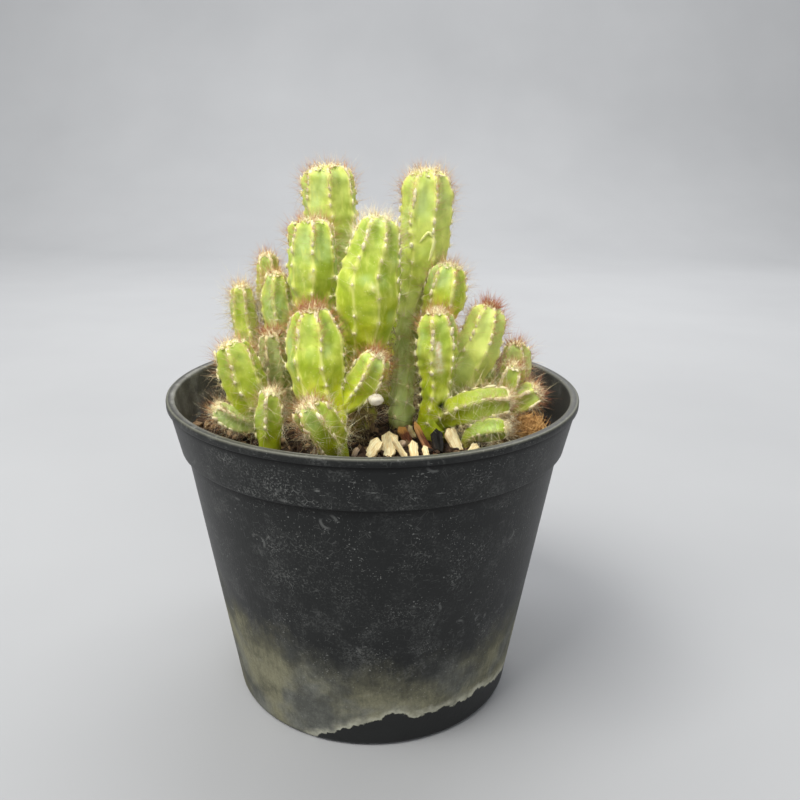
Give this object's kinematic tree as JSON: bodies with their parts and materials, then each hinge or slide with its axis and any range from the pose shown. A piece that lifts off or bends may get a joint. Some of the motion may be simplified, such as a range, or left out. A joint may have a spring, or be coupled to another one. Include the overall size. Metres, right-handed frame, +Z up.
{
  "type": "potted columnar cactus",
  "caption": "Clump of short ribbed green cactus stems with woolly areoles and fine spines, in a round tapered black plastic nursery pot with a collar and rim.",
  "frame": {"origin": "centre of the pot's base, on the surface that the pot stands on", "axes": "+Z up along the pot's axis, -Y to the front that the picture shows, +X to the right as seen from the front"},
  "size_m": [0.11, 0.11, 0.1453],
  "materials": {
    "pot_plastic": "black nursery-pot plastic, slightly glossy, with grey dust and scuffs",
    "potting_mix": "dark damp potting mix, rough",
    "stem_green": "waxy yellow-green cactus skin with pale woolly areoles and fine straw and brown spines",
    "stem_old": "older grey-green cactus skin with pale areoles",
    "wood_chip": "pale dry wood chip",
    "bark_sliver": "dark red-brown bark",
    "charred_chip": "nearly black chip",
    "perlite": "white chalky grain",
    "plant_fibre": "orange-brown dry plant fibre"
  },
  "bodies": {
    "root": {"pot": "pot_plastic", "soil": "potting_mix", "stem_tall_left": "stem_green", "stem_mid_left": "stem_green", "stem_centre": "stem_green", "stem_front": "stem_green", "stem_tall_right": "stem_green", "stem_mid_right": "stem_green", "stem_lean_right": "stem_green", "stem_low_right": "stem_green", "stem_edge_right": "stem_green", "stem_lean_left": "stem_green", "stem_small_left": "stem_green", "stem_grey_left": "stem_old", "stem_left_back": "stem_green", "stem_left_edge": "stem_green", "stem_back_centre": "stem_green", "stem_back_left": "stem_green", "stem_back_right": "stem_green", "stem_back_edge": "stem_green", "stem_rear_centre": "stem_green", "stem_rear_right": "stem_green", "stem_rear_left": "stem_green", "stem_rear_small": "stem_green", "stem_far_left": "stem_green", "chip_cream_1": "wood_chip", "chip_cream_2": "wood_chip", "chip_cream_3": "wood_chip", "chip_cream_4": "wood_chip", "chip_cream_5": "wood_chip", "chip_cream_6": "wood_chip", "chip_cream_7": "wood_chip", "chip_cream_8": "wood_chip", "chip_cream_9": "wood_chip", "chip_cream_10": "wood_chip", "chip_cream_11": "wood_chip", "chip_dark_1": "bark_sliver", "chip_dark_2": "bark_sliver", "chip_dark_3": "bark_sliver", "chip_black": "charred_chip", "perlite": "perlite", "fibre_clump": "plant_fibre"}
  },
  "joints": []
}
